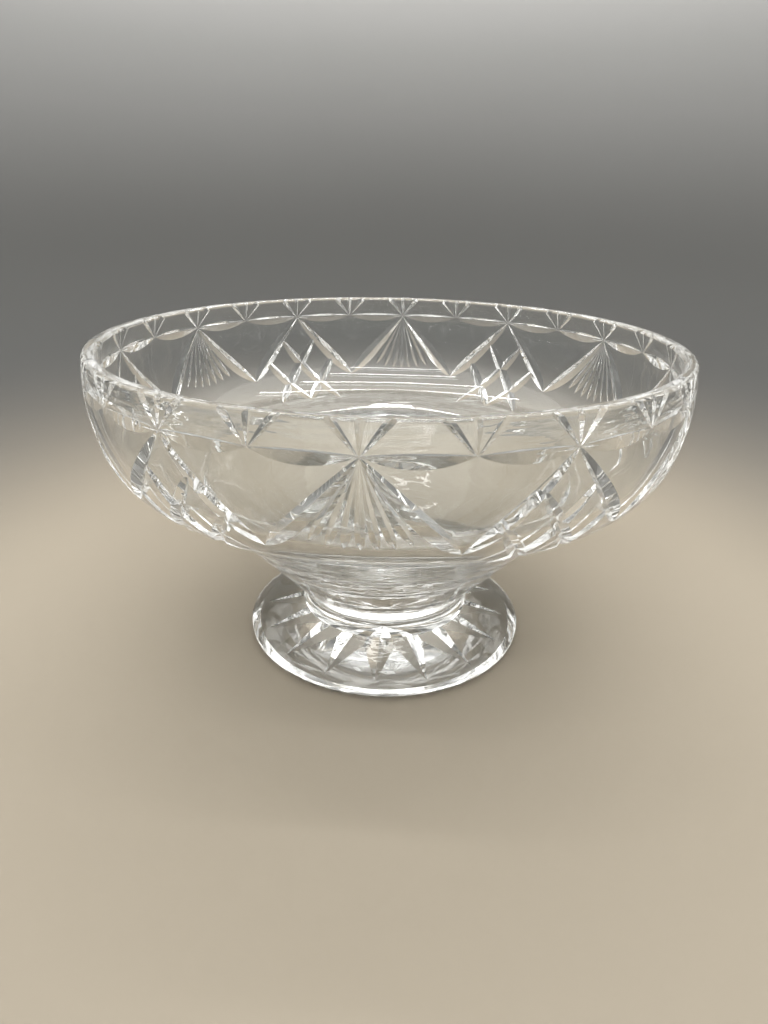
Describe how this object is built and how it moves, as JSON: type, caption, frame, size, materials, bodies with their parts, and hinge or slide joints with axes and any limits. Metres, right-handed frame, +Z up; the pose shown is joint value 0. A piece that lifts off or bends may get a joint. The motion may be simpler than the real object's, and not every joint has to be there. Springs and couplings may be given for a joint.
{
  "type": "footed punch bowl",
  "caption": "Footed punch bowl of clear cut lead crystal, with a star and fan pattern round the belly, a short collar and a round star-cut foot.",
  "frame": {"origin": "centre of the foot's flat underside, on the surface that the bowl stands on", "axes": "+Z up along the bowl's axis of symmetry; -Y points at the middle of a fan-cut star"},
  "size_m": [0.3052, 0.305, 0.1736],
  "materials": {
    "bowl_crystal": "polished lead crystal, sharp polished mitre cuts",
    "collar_crystal": "fire-polished lead crystal",
    "foot_crystal": "polished lead crystal, star cut underneath"
  },
  "bodies": {
    "root": {"bowl": "bowl_crystal", "collar": "collar_crystal", "foot": "foot_crystal"}
  },
  "joints": []
}
